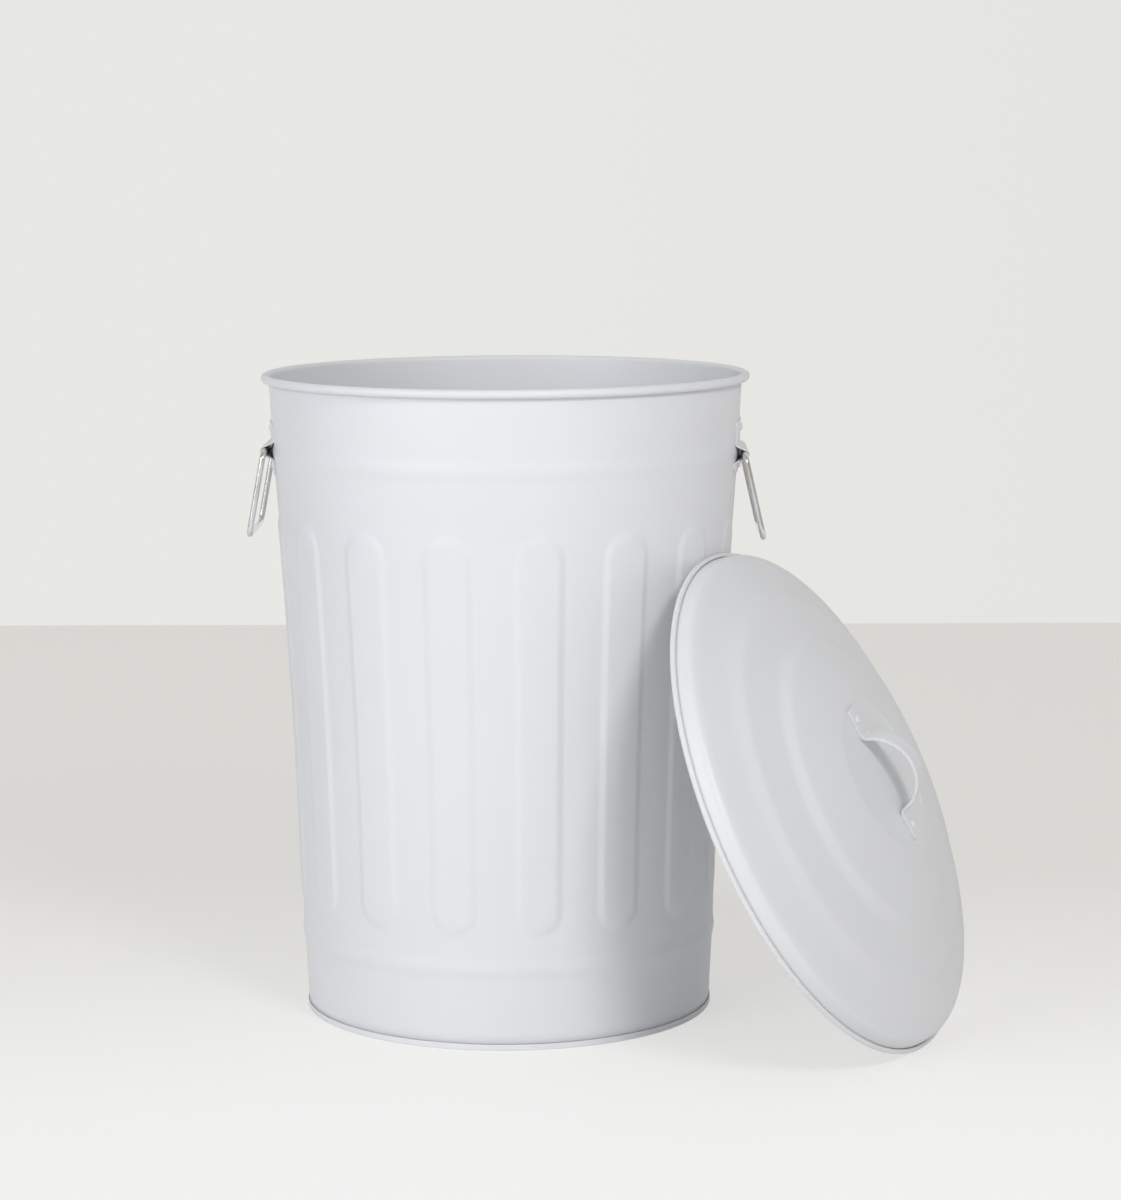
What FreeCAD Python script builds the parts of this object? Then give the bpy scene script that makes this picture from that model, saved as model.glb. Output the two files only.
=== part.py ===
import FreeCAD, Part
import Sketcher
import math
import os

# Painted sheet-metal trash can with a separate lid leaning on its front right side.
# Millimetres, +Z up, the can's axis on Z with its foot on z = 0, its two bails on +X and -X.

os.makedirs("parts", exist_ok=True)
doc = FreeCAD.newDocument("trash_can")

# ---------------------------------------------------------------- driving dimensions
SIZES = [
    # can wall: a cone with a slight waist, its top edge rolled outward
    ("body_height", 540.0),
    ("base_radius", 171.3),
    ("wall_tilt", 2.913),
    ("sheet", 0.8),
    ("curl_radius", 3.6),
    ("curl_end", 125.0),
    ("low_bead_z", 59.0),
    ("high_bead_z", 466.0),
    ("bead_width", 16.0),
    ("bead_height", 1.2),
    ("waist_depth", 3.0),
    # lap seam up the back of the wall
    ("seam_angle", 2.2),
    ("seam_bottom", 7.0),
    ("seam_top", 528.0),
    # raised flutes round the wall
    ("flute_count", 16.0),
    ("flute_first", 9.5),
    ("flute_angle", 13.0),
    ("flute_bottom", 94.0),
    ("flute_top", 423.0),
    ("flute_height", 1.6),
    ("flank_width", 5.5),
    ("end_flank", 3.8),
    # base pan with a folded hem round the wall's lower edge
    ("hem_radius", 172.55),
    ("hem_height", 5.0),
    ("flange_radius", 170.3),
    ("pan_height", 10.0),
    # bail brackets
    ("plate_bottom", 457.0),
    ("plate_top", 501.0),
    ("plate_width", 82.0),
    ("plate_sheet", 1.2),
    ("plate_corner", 6.0),
    ("tunnel_radius", 2.9),
    ("tunnel_foot", 8.2),
    ("tunnel_depth", 12.0),
    ("leg_thickness", 1.68),
    ("pivot_radius", 199.8),
    ("pivot_z_left", 477.2),
    ("pivot_z_right", 473.0),
    # bracket rivets
    ("rivet_low_z", 461.5),
    ("rivet_high_z", 493.0),
    ("rivet_head", 7.0),
    ("rivet_rise", 2.0),
    ("rivet_shank", 4.0),
    ("rivet_tail", 6.5),
    ("tail_rise", 1.2),
    ("tail_gap", 0.3),
    ("hole_gap", 0.2),
    # wire bails
    ("wire", 5.0),
    ("bail_width", 100.0),
    ("bail_drop", 70.3),
    ("bail_bend", 7.5),
    ("butt_gap", 1.5),
    ("splay_left", 10.6),
    ("splay_right", 12.6),
    # lid, in its own frame: heights run from the centre plane of its rolled rim
    ("lid_curl_centre", 215.7),
    ("lid_curl", 2.25),
    ("lid_curl_end", 125.0),
    ("skirt_tilt", 10.0),
    ("skirt_radius", 212.6),
    ("skirt_top", 9.4),
    ("shoulder_arc", 6.8),
    ("ring_edge", 208.8),
    ("ring_edge_rise", 14.9),
    ("riser_a_out", 178.5),
    ("riser_a_foot", 27.0),
    ("riser_a_in", 165.6),
    ("riser_a_head", 33.7),
    ("riser_b_out", 129.2),
    ("riser_b_foot", 43.0),
    ("riser_b_in", 119.0),
    ("riser_b_head", 49.3),
    ("dome_arc", 418.0),
    ("seat_edge", 62.6),
    ("seat_edge_rise", 61.6),
    ("seat_radius", 62.0),
    ("seat_rise", 61.0),
    # lid handle, a bent strap
    ("strap", 2.4),
    ("strap_width", 18.0),
    ("strap_tip", 60.0),
    ("strap_corner", 5.0),
    ("strap_bend", 5.0),
    ("strap_arch", 34.1),
    ("arch_rise", 56.4),
    ("strap_turn", 12.0),
    ("strap_rivet", 49.0),
    ("lid_rivet_head", 8.0),
    ("lid_rivet_rise", 2.2),
    ("lid_rivet_shank", 4.5),
    ("lid_rivet_tail", 7.0),
    # where the lid leans
    ("lid_bearing", 24.15),
    ("lid_lift", 25.38),
    ("lid_place_bearing", 24.93),
    ("lid_place_radius", 284.45),
]

sheet_object = doc.addObject("Spreadsheet::Sheet", "Sizes")
for row, (alias, value) in enumerate(SIZES, start=1):
    sheet_object.set("A%d" % row, alias)
    sheet_object.set("B%d" % row, str(value))
    sheet_object.setAlias("B%d" % row, alias)
doc.recompute()


def size(alias):
    """Value of one driving dimension, read back from the sheet."""
    return float(sheet_object.get(alias))


def wall_radius_text(height_text):
    """Expression for the cone's outer radius at a height, without beads or waist."""
    return "Sizes.base_radius + (%s) * tan(Sizes.wall_tilt)" % height_text


def arc_radius_text(chord_text, rise_text):
    """Expression for the radius of an arc from its chord and its rise."""
    return "(%s) * (%s) / (8 * (%s)) + (%s) / 2" % (chord_text, chord_text, rise_text, rise_text)


# ---------------------------------------------------------------- sketch helpers
def origin_plane(body, role):
    """One of a body's own origin planes."""
    for feature in body.Origin.OriginFeatures:
        if feature.Role == role:
            return feature
    raise ValueError(role)


def add_sketch(body, name, role):
    """Empty sketch on one of the body's origin planes."""
    sketch = body.newObject("Sketcher::SketchObject", name)
    sketch.AttachmentSupport = [(origin_plane(body, role), "")]
    sketch.MapMode = "FlatFace"
    doc.recompute()
    return sketch


def arc_between(start, end, radius, turn, large):
    """Circular arc from start to end; turn is 1 for anticlockwise travel, -1 for clockwise."""
    along = end - start
    middle = (start + end) * 0.5
    left = FreeCAD.Vector(-along.y, along.x, 0).normalize()
    reach = math.sqrt(max(0.0, radius * radius - along.Length * along.Length / 4))
    side = -turn if large else turn
    centre = middle + left * (reach * side)
    first, last = (start, end) if turn > 0 else (end, start)
    angle_first = math.atan2(first.y - centre.y, first.x - centre.x)
    angle_last = math.atan2(last.y - centre.y, last.x - centre.x)
    if angle_last < angle_first:
        angle_last += 2 * math.pi
    circle = Part.Circle(centre, FreeCAD.Vector(0, 0, 1), radius)
    return Part.ArcOfCircle(circle, angle_first, angle_last)


def bind(sketch, constraint, text):
    """Add a dimension to the sketch and drive it by an expression."""
    index = sketch.addConstraint(constraint)
    sketch.setExpression("Constraints[%d]" % index, text)


def add_outline(sketch, points, arcs=None, closed=True):
    """Draw lines and arcs through points, each a pair of expressions.

    arcs maps the number of a stretch to (radius expression, turn, large).
    """
    arcs = arcs or {}
    spots = [FreeCAD.Vector(float(sketch.evalExpression(across)), float(sketch.evalExpression(up)), 0)
             for across, up in points]
    stretches = len(points) if closed else len(points) - 1
    curves = []
    for number in range(stretches):
        start = spots[number]
        end = spots[(number + 1) % len(spots)]
        if number in arcs:
            radius_text, turn, large = arcs[number]
            radius = float(sketch.evalExpression(radius_text))
            curve = sketch.addGeometry(arc_between(start, end, radius, turn, large))
            curves.append((curve, (1, 2) if turn > 0 else (2, 1)))
            bind(sketch, Sketcher.Constraint("Radius", curve, radius), radius_text)
        else:
            curve = sketch.addGeometry(Part.LineSegment(start, end))
            curves.append((curve, (1, 2)))
    joints = stretches if closed else stretches - 1
    for number in range(joints):
        curve, ends = curves[number]
        follower, follower_ends = curves[(number + 1) % stretches]
        sketch.addConstraint(Sketcher.Constraint("Coincident", curve, ends[1], follower, follower_ends[0]))
    for number, (across, up) in enumerate(points):
        if number < stretches:
            curve, vertex = curves[number][0], curves[number][1][0]
        else:
            curve, vertex = curves[-1][0], curves[-1][1][1]
        spot = spots[number]
        bind(sketch, Sketcher.Constraint("DistanceX", -1, 1, curve, vertex, spot.x), across)
        bind(sketch, Sketcher.Constraint("DistanceY", -1, 1, curve, vertex, spot.y), up)


def add_circle(sketch, across, up, diameter_text):
    """Circle at a pair of expressions, driven by its diameter."""
    spot = FreeCAD.Vector(float(sketch.evalExpression(across)), float(sketch.evalExpression(up)), 0)
    radius = float(sketch.evalExpression(diameter_text)) / 2
    curve = sketch.addGeometry(Part.Circle(spot, FreeCAD.Vector(0, 0, 1), radius))
    bind(sketch, Sketcher.Constraint("Diameter", curve, 2 * radius), diameter_text)
    bind(sketch, Sketcher.Constraint("DistanceX", -1, 1, curve, 3, spot.x), across)
    bind(sketch, Sketcher.Constraint("DistanceY", -1, 1, curve, 3, spot.y), up)


def revolved_body(name, points, arcs=None, angle_text="360"):
    """Body made by turning an outline of (radius, height) pairs round its Z axis."""
    body = doc.addObject("PartDesign::Body", name)
    sketch = add_sketch(body, name + "_profile", "XZ_Plane")
    add_outline(sketch, points, arcs)
    turned = body.newObject("PartDesign::Revolution", name + "_turned")
    turned.Profile = sketch
    turned.ReferenceAxis = (sketch, ["V_Axis"])
    turned.Midplane = True
    turned.setExpression("Angle", angle_text)
    return body


def padded_body(name, role, points, arcs, length_text, both_ways):
    """Body made by padding an outline drawn on one origin plane."""
    body = doc.addObject("PartDesign::Body", name)
    sketch = add_sketch(body, name + "_outline", role)
    add_outline(sketch, points, arcs)
    pad = body.newObject("PartDesign::Pad", name + "_pad")
    pad.Profile = sketch
    pad.setExpression("Length", length_text)
    pad.Midplane = both_ways
    return body


# ---------------------------------------------------------------- can wall
SKIN = "Sizes.sheet / cos(Sizes.wall_tilt)"
RIM_Z = "Sizes.body_height - Sizes.curl_radius"
RIM_IN = "(Sizes.curl_radius - Sizes.sheet)"
RIM_R = "%s + %s / cos(Sizes.wall_tilt)" % (wall_radius_text(RIM_Z), RIM_IN)
BEAD_ARC = arc_radius_text("Sizes.bead_width", "Sizes.bead_height")
WAIST_CHORD = "Sizes.high_bead_z - Sizes.low_bead_z - Sizes.bead_width"
WAIST_ARC = arc_radius_text(WAIST_CHORD, "Sizes.waist_depth")
BEAD_EDGES = [
    "Sizes.low_bead_z",
    "Sizes.low_bead_z + Sizes.bead_width",
    "Sizes.high_bead_z",
    "Sizes.high_bead_z + Sizes.bead_width",
]


def rim_point(radius_text, angle_text):
    """Point on a circle round the centre of the rolled rim."""
    return ("%s + %s * cos(%s)" % (RIM_R, radius_text, angle_text),
            "%s + %s * sin(%s)" % (RIM_Z, radius_text, angle_text))


def make_wall_shell():
    """Wall before its flutes: cone, two ring beads, waist and the outward-rolled rim."""
    foot = "Sizes.sheet"
    outer = [(wall_radius_text(level), level) for level in [foot] + BEAD_EDGES]
    inner = [("%s - %s" % (wall_radius_text(level), SKIN), level) for level in [foot] + BEAD_EDGES]
    rim = [
        rim_point(RIM_IN, "180 - Sizes.wall_tilt"),
        rim_point(RIM_IN, "-Sizes.curl_end"),
        rim_point("Sizes.curl_radius", "-Sizes.curl_end"),
        rim_point("Sizes.curl_radius", "180 - Sizes.wall_tilt"),
    ]
    points = outer + rim + inner[::-1]
    arcs = {
        1: (BEAD_ARC, 1, False),
        2: (WAIST_ARC, -1, False),
        3: (BEAD_ARC, 1, False),
        5: (RIM_IN, -1, True),
        7: ("Sizes.curl_radius", 1, True),
        9: (BEAD_ARC, -1, False),
        10: (WAIST_ARC, 1, False),
        11: (BEAD_ARC, -1, False),
    }
    return revolved_body("wall_shell", points, arcs)


def make_seam():
    """Lap seam up the back: a narrow strip of the wall's profile, sunk half a sheet into the wall."""
    levels = ["Sizes.seam_bottom"] + BEAD_EDGES + ["Sizes.seam_top"]
    outer = [("%s + Sizes.sheet" % wall_radius_text(level), level) for level in levels]
    inner = [("%s - Sizes.sheet / 2" % wall_radius_text(level), level) for level in levels]
    arcs = {
        1: (BEAD_ARC, 1, False),
        2: (WAIST_ARC, -1, False),
        3: (BEAD_ARC, 1, False),
        7: (BEAD_ARC, -1, False),
        8: (WAIST_ARC, 1, False),
        9: (BEAD_ARC, -1, False),
    }
    seam = revolved_body("wall_seam", outer + inner[::-1], arcs, "Sizes.seam_angle")
    between_flutes = size("flute_first") + (size("flute_count") - 1) * 180 / size("flute_count")
    seam.Placement = FreeCAD.Placement(
        FreeCAD.Vector(0, 0, 0), FreeCAD.Rotation(FreeCAD.Vector(0, 0, 1), between_flutes - 90))
    return seam


def cone_radius(height):
    """Outer radius of the plain cone."""
    return size("base_radius") + height * math.tan(math.radians(size("wall_tilt")))


def waist_radius(height):
    """Outer radius of the wall between the two beads."""
    low = size("low_bead_z") + size("bead_width")
    high = size("high_bead_z")
    share = (height - (low + high) / 2) / ((high - low) / 2)
    return cone_radius(height) - size("waist_depth") * (1 - share * share)


def waist_ring(inset, outset):
    """Ring that follows the waisted wall, from inset inside to outset outside its outer face."""
    low = size("low_bead_z") + size("bead_width")
    high = size("high_bead_z")
    middle = (low + high) / 2

    def edge(shift):
        return Part.Arc(FreeCAD.Vector(cone_radius(low) + shift, 0, low),
                        FreeCAD.Vector(waist_radius(middle) + shift, 0, middle),
                        FreeCAD.Vector(cone_radius(high) + shift, 0, high)).toShape()

    inner = edge(-inset)
    outer = edge(outset)
    bottom = Part.makeLine(inner.Vertexes[0].Point, outer.Vertexes[0].Point)
    top = Part.makeLine(inner.Vertexes[1].Point, outer.Vertexes[1].Point)
    face = Part.Face(Part.Wire(Part.__sortEdges__([inner, top, outer, bottom])))
    return face.revolve(FreeCAD.Vector(0, 0, 0), FreeCAD.Vector(0, 0, 1), 360)


def flute_tool():
    """Tapered plug whose sides are the flanks of one flute, standing on the +X side.

    Each side line runs from the flute's outline on the wall to the edge of its raised face and on
    to two planes that lie parallel to the wall, one inside it and one outside.
    """
    half = math.radians(size("flute_angle") / 2)
    rise = size("flute_height")
    low = size("flute_bottom")
    high = size("flute_top")
    low_end = low + waist_radius(low) * math.sin(half)
    high_end = high - waist_radius(high) * math.sin(half)
    middle = (low + high) / 2
    tilt = math.radians(size("wall_tilt"))
    normal = FreeCAD.Vector(math.cos(tilt), 0, -math.sin(tilt))

    def side_line(height):
        radius = waist_radius(height)
        crest = half - size("flank_width") / radius
        foot = FreeCAD.Vector(radius * math.cos(half), radius * math.sin(half), height)
        head = FreeCAD.Vector((radius + rise) * math.cos(crest), (radius + rise) * math.sin(crest), height)
        return foot, head

    def end_line(height, step):
        foot = FreeCAD.Vector(waist_radius(height), 0, height)
        head = FreeCAD.Vector(waist_radius(height + step) + rise, 0, height + step)
        return foot, head

    def outline(depth):
        base = FreeCAD.Vector(cone_radius(middle) + depth, 0, middle)

        def on_plane(line):
            foot, head = line
            along = head - foot
            return foot + along * (normal.dot(base - foot) / normal.dot(along))

        def mirrored(spot):
            return FreeCAD.Vector(spot.x, -spot.y, spot.z)

        right = [on_plane(side_line(height)) for height in (low_end, middle, high_end)]
        left = [mirrored(spot) for spot in right]
        bottom = on_plane(end_line(low, size("end_flank")))
        top = on_plane(end_line(high, -size("end_flank")))
        edges = [
            Part.Arc(right[0], right[1], right[2]).toShape(),
            Part.Arc(right[2], top, left[2]).toShape(),
            Part.Arc(left[2], left[1], left[0]).toShape(),
            Part.Arc(left[0], bottom, right[0]).toShape(),
        ]
        return Part.Wire(edges)

    inner_depth = -size("waist_depth") - 2 * size("sheet")
    outer_depth = rise + size("sheet")
    return Part.makeLoft([outline(inner_depth), outline(outer_depth)], True, True)


def rivet_spots():
    """Heights of the two rivets of a bracket."""
    return [size("rivet_low_z"), size("rivet_high_z")]


def rivet_placement(height, quarter_turn):
    """Placement that stands a rivet's seat on the outside of a bracket plate."""
    tilt = size("wall_tilt")
    outward = FreeCAD.Rotation(FreeCAD.Vector(0, 1, 0), 90 + tilt)
    seat = size("plate_sheet") / math.cos(math.radians(tilt))
    spot = FreeCAD.Vector(cone_radius(height) + seat, 0, height)
    local = FreeCAD.Placement(spot, outward)
    turn = FreeCAD.Rotation(FreeCAD.Vector(0, 0, 1), quarter_turn)
    return FreeCAD.Placement(FreeCAD.Vector(0, 0, 0), turn).multiply(local)


def rivet_drill(height, quarter_turn):
    """Cylinder for the hole of one bracket rivet."""
    drill = Part.makeCylinder((size("rivet_shank") + size("hole_gap")) / 2, 12,
                              FreeCAD.Vector(0, 0, -8), FreeCAD.Vector(0, 0, 1))
    drill.Placement = rivet_placement(height, quarter_turn)
    return drill


def make_body_wall(shell, seam):
    """Wall with its seam, its flutes pressed outward and the holes for the bracket rivets."""
    tool = flute_tool()
    sunk_tool = tool.copy()
    sunk_tool.translate(FreeCAD.Vector(-size("sheet"), 0, 0))
    bump = waist_ring(size("sheet") / 2, size("flute_height")).common(tool)
    groove = waist_ring(2 * size("sheet"), size("flute_height") - size("sheet")).common(sunk_tool)
    count = int(size("flute_count"))
    pitch = 360 / count
    bumps = []
    grooves = []
    for number in range(count):
        turn = size("flute_first") + number * pitch - 90
        for source, group in ((bump, bumps), (groove, grooves)):
            copy = source.copy()
            copy.rotate(FreeCAD.Vector(0, 0, 0), FreeCAD.Vector(0, 0, 1), turn)
            group.append(copy)
    drills = [rivet_drill(height, side) for height in rivet_spots() for side in (0, 180)]
    wall = doc.addObject("Part::Feature", "body_wall")
    wall.Shape = shell.Shape.fuse(bumps + [seam.Shape]).cut(grooves + drills)
    return wall


# ---------------------------------------------------------------- base pan
def make_base_pan():
    """Raised floor disc with a flange and a hem folded up round the wall's lower edge."""
    points = [
        ("0", "Sizes.pan_height - Sizes.sheet"),
        ("Sizes.flange_radius - Sizes.sheet", "Sizes.pan_height - Sizes.sheet"),
        ("Sizes.flange_radius - Sizes.sheet", "0"),
        ("Sizes.hem_radius", "0"),
        ("Sizes.hem_radius", "Sizes.hem_height"),
        ("Sizes.hem_radius - Sizes.sheet", "Sizes.hem_height"),
        ("Sizes.hem_radius - Sizes.sheet", "Sizes.sheet"),
        ("Sizes.flange_radius", "Sizes.sheet"),
        ("Sizes.flange_radius", "Sizes.pan_height"),
        ("0", "Sizes.pan_height"),
    ]
    return revolved_body("base_pan", points)


# ---------------------------------------------------------------- bail brackets
def make_bracket(name, quarter_turn, pivot_z):
    """Curved plate pressed over the ring bead, with a straight tunnel for the bail's top bar."""
    levels = ["Sizes.plate_bottom", BEAD_EDGES[2], BEAD_EDGES[3], "Sizes.plate_top"]
    inner = [(wall_radius_text(level), level) for level in levels]
    outer = [("%s + Sizes.plate_sheet" % radius, level) for radius, level in inner]
    ring = revolved_body(name + "_ring", outer + inner[::-1],
                         {1: (BEAD_ARC, 1, False), 5: (BEAD_ARC, -1, False)})
    core_edge = "Sizes.base_radius"
    core = revolved_body(name + "_core",
                         inner + [(core_edge, levels[3]), (core_edge, levels[0])],
                         {1: (BEAD_ARC, 1, False)})

    half = "Sizes.plate_width / 2"
    corner = "Sizes.plate_corner"
    low, high = levels[0], levels[3]
    frame_points = [
        ("-%s + %s" % (half, corner), low), ("%s - %s" % (half, corner), low),
        (half, "%s + %s" % (low, corner)), (half, "%s - %s" % (high, corner)),
        ("%s - %s" % (half, corner), high), ("-%s + %s" % (half, corner), high),
        ("-%s" % half, "%s - %s" % (high, corner)), ("-%s" % half, "%s + %s" % (low, corner)),
    ]
    frame_arcs = {number: (corner, 1, False) for number in (1, 3, 5, 7)}
    blank = padded_body(name + "_blank", "YZ_Plane", frame_points, frame_arcs,
                        "Sizes.pivot_radius + Sizes.plate_corner", False)

    def tunnel(label, radius, foot):
        """Prism of the tunnel's section: an arc round the wire, with legs that run off it to the wall."""
        depth = "Sizes.tunnel_depth"
        span = "(%s * %s + %s * %s)" % (depth, depth, foot, foot)
        leg = "sqrt(%s - %s * %s)" % (span, radius, radius)
        past = "%s * (%s * %s - %s * %s) / %s" % (radius, foot, leg, radius, depth, span)
        touch = "Sizes.pivot_radius + " + past
        half = "%s * (%s * %s + %s * %s) / %s" % (radius, radius, foot, leg, depth, span)
        root = "Sizes.pivot_radius - " + depth
        points = [
            (root, "%s - %s" % (pivot_z, foot)),
            (touch, "%s - %s" % (pivot_z, half)),
            ("Sizes.pivot_radius + " + radius, pivot_z),
            (touch, "%s + %s" % (pivot_z, half)),
            (root, "%s + %s" % (pivot_z, foot)),
        ]
        arcs = {1: (radius, 1, False), 2: (radius, 1, False)}
        return padded_body(label, "XZ_Plane", points, arcs, "Sizes.plate_width", True)

    strap = tunnel(name + "_strap", "(Sizes.tunnel_radius + Sizes.plate_sheet)",
                   "(Sizes.tunnel_foot + Sizes.leg_thickness)")
    bore = tunnel(name + "_bore", "Sizes.tunnel_radius", "Sizes.tunnel_foot")
    doc.recompute()

    plate = doc.addObject("Part::Common", name + "_plate")
    plate.Base, plate.Tool = ring, blank
    rib = doc.addObject("Part::Cut", name + "_rib")
    rib.Base, rib.Tool = strap, core
    pressed = doc.addObject("Part::Fuse", name + "_pressed")
    pressed.Base, pressed.Tool = plate, rib
    open_tunnel = doc.addObject("Part::Cut", name + "_open")
    open_tunnel.Base, open_tunnel.Tool = pressed, bore
    drills = doc.addObject("Part::Feature", name + "_drills")
    drills.Shape = Part.makeCompound([rivet_drill(height, 0) for height in rivet_spots()])
    bracket = doc.addObject("Part::Cut", name)
    bracket.Base, bracket.Tool = open_tunnel, drills
    bracket.Placement = FreeCAD.Placement(FreeCAD.Vector(0, 0, 0),
                                          FreeCAD.Rotation(FreeCAD.Vector(0, 0, 1), quarter_turn))
    return bracket


# ---------------------------------------------------------------- rivets
def make_rivet(name, head, rise, shank, grip, tail, placement):
    """Domed rivet on its own Z axis, its seat at z = 0 and its set tail below the grip."""
    under = "-(%s) - Sizes.tail_gap" % grip
    points = [
        ("0", rise),
        ("%s / 2" % head, "0"),
        ("%s / 2" % shank, "0"),
        ("%s / 2" % shank, under),
        ("%s / 2" % tail, under),
        ("%s / 2" % tail, "%s - Sizes.tail_rise" % under),
        ("0", "%s - Sizes.tail_rise" % under),
    ]
    dome = "(%s * %s / 4 + %s * %s) / (2 * %s)" % (head, head, rise, rise, rise)
    rivet = revolved_body(name, points, {0: (dome, -1, False)})
    rivet.Placement = placement
    return rivet


def make_bracket_rivets(name, quarter_turn):
    """The two rivets that hold one bracket."""
    grip = "(Sizes.plate_sheet + Sizes.sheet) / cos(Sizes.wall_tilt)"
    rivets = [
        make_rivet("%s_%d" % (name, number), "Sizes.rivet_head", "Sizes.rivet_rise", "Sizes.rivet_shank",
                   grip, "Sizes.rivet_tail", rivet_placement(height, quarter_turn))
        for number, height in enumerate(rivet_spots(), start=1)
    ]
    pair = doc.addObject("Part::Compound", name)
    pair.Links = rivets
    return pair


# ---------------------------------------------------------------- bails
def make_bail(name, side, splay_alias, height_alias):
    """Wire bail hanging from its top bar; side is 1 at +X and -1 at -X."""
    body = doc.addObject("PartDesign::Body", name)
    path = add_sketch(body, name + "_path", "YZ_Plane")
    half = "Sizes.bail_width / 2"
    bend = "Sizes.bail_bend"
    drop = "Sizes.bail_drop"
    points = [
        ("0", "0"), ("%s - %s" % (half, bend), "0"),
        (half, "-%s" % bend), (half, "-%s + %s" % (drop, bend)),
        ("%s - %s" % (half, bend), "-%s" % drop), ("-%s + %s" % (half, bend), "-%s" % drop),
        ("-%s" % half, "-%s + %s" % (drop, bend)), ("-%s" % half, "-%s" % bend),
        ("-%s + %s" % (half, bend), "0"), ("-Sizes.butt_gap", "0"),
    ]
    add_outline(path, points, {number: (bend, -1, False) for number in (1, 3, 5, 7)}, closed=False)
    section = add_sketch(body, name + "_section", "XZ_Plane")
    add_circle(section, "0", "0", "Sizes.wire")
    doc.recompute()
    wire = body.newObject("PartDesign::AdditivePipe", name + "_wire")
    wire.Profile = section
    wire.Spine = (path, ["Edge%d" % number for number in range(1, len(points))])
    swing = FreeCAD.Rotation(FreeCAD.Vector(0, 1, 0), -side * size(splay_alias))
    body.Placement = FreeCAD.Placement(
        FreeCAD.Vector(side * size("pivot_radius"), 0, size(height_alias)), swing)
    return body


# ---------------------------------------------------------------- lid
def lid_placement():
    """Placement of the lid's own frame: leaning on the can with its rolled rim on the floor."""
    lean = 90 - size("lid_lift")
    turn = FreeCAD.Rotation(FreeCAD.Vector(0, 0, 1), 90 - size("lid_bearing"))
    tip = FreeCAD.Rotation(FreeCAD.Vector(1, 0, 0), lean)
    height = size("lid_curl_centre") * math.sin(math.radians(lean)) + size("lid_curl")
    bearing = math.radians(size("lid_place_bearing"))
    reach = size("lid_place_radius")
    spot = FreeCAD.Vector(reach * math.cos(bearing), -reach * math.sin(bearing), height)
    return FreeCAD.Placement(spot, turn.multiply(tip))


def handle_placement():
    """The lid's frame turned so that its Y axis runs along the handle."""
    turn = FreeCAD.Rotation(FreeCAD.Vector(0, 0, 1), size("strap_turn"))
    return lid_placement().multiply(FreeCAD.Placement(FreeCAD.Vector(0, 0, 0), turn))


def lid_rim_point(radius_text, angle_text):
    """Point on a circle round the centre of the lid's rolled rim."""
    return ("Sizes.lid_curl_centre + %s * cos(%s)" % (radius_text, angle_text),
            "%s * sin(%s)" % (radius_text, angle_text))


def make_lid_shell():
    """Stepped dome with a flat seat for the handle, a short skirt and an outward-rolled rim."""
    upper = [
        ("0", "Sizes.seat_rise"),
        ("Sizes.seat_radius", "Sizes.seat_rise"),
        ("Sizes.seat_edge", "Sizes.seat_edge_rise"),
        ("Sizes.riser_b_in", "Sizes.riser_b_head"),
        ("Sizes.riser_b_out", "Sizes.riser_b_foot"),
        ("Sizes.riser_a_in", "Sizes.riser_a_head"),
        ("Sizes.riser_a_out", "Sizes.riser_a_foot"),
        ("Sizes.ring_edge", "Sizes.ring_edge_rise"),
    ]
    lower = [(across, "%s - Sizes.sheet" % up) for across, up in upper]
    rim_in = "(Sizes.lid_curl - Sizes.sheet)"
    start_angle = "180 + Sizes.skirt_tilt"
    skirt = [
        ("Sizes.skirt_radius", "Sizes.skirt_top"),
        lid_rim_point(rim_in, start_angle),
        lid_rim_point(rim_in, "Sizes.lid_curl_end"),
        lid_rim_point("Sizes.lid_curl", "Sizes.lid_curl_end"),
        lid_rim_point("Sizes.lid_curl", start_angle),
        ("Sizes.skirt_radius - Sizes.sheet", "Sizes.skirt_top"),
    ]
    points = upper + skirt + lower[::-1]
    arcs = {
        2: ("Sizes.dome_arc", -1, False),
        7: ("Sizes.shoulder_arc", -1, False),
        9: (rim_in, 1, True),
        11: ("Sizes.lid_curl", -1, True),
        13: ("Sizes.shoulder_arc - Sizes.sheet", 1, False),
        18: ("Sizes.dome_arc", 1, False),
    }
    lid = revolved_body("lid_shell", points, arcs)
    holes = add_sketch(lid, "lid_rivet_holes", "XY_Plane")
    for sign in ("-", ""):
        opposite = "" if sign == "-" else "-"
        add_circle(holes, "%sSizes.strap_rivet * sin(Sizes.strap_turn)" % sign,
                   "%sSizes.strap_rivet * cos(Sizes.strap_turn)" % opposite,
                   "Sizes.lid_rivet_shank + Sizes.hole_gap")
    doc.recompute()
    pierced = lid.newObject("PartDesign::Pocket", "lid_pierced")
    pierced.Profile = holes
    pierced.Type = "ThroughAll"
    pierced.Reversed = True
    lid.Placement = lid_placement()
    return lid


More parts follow.
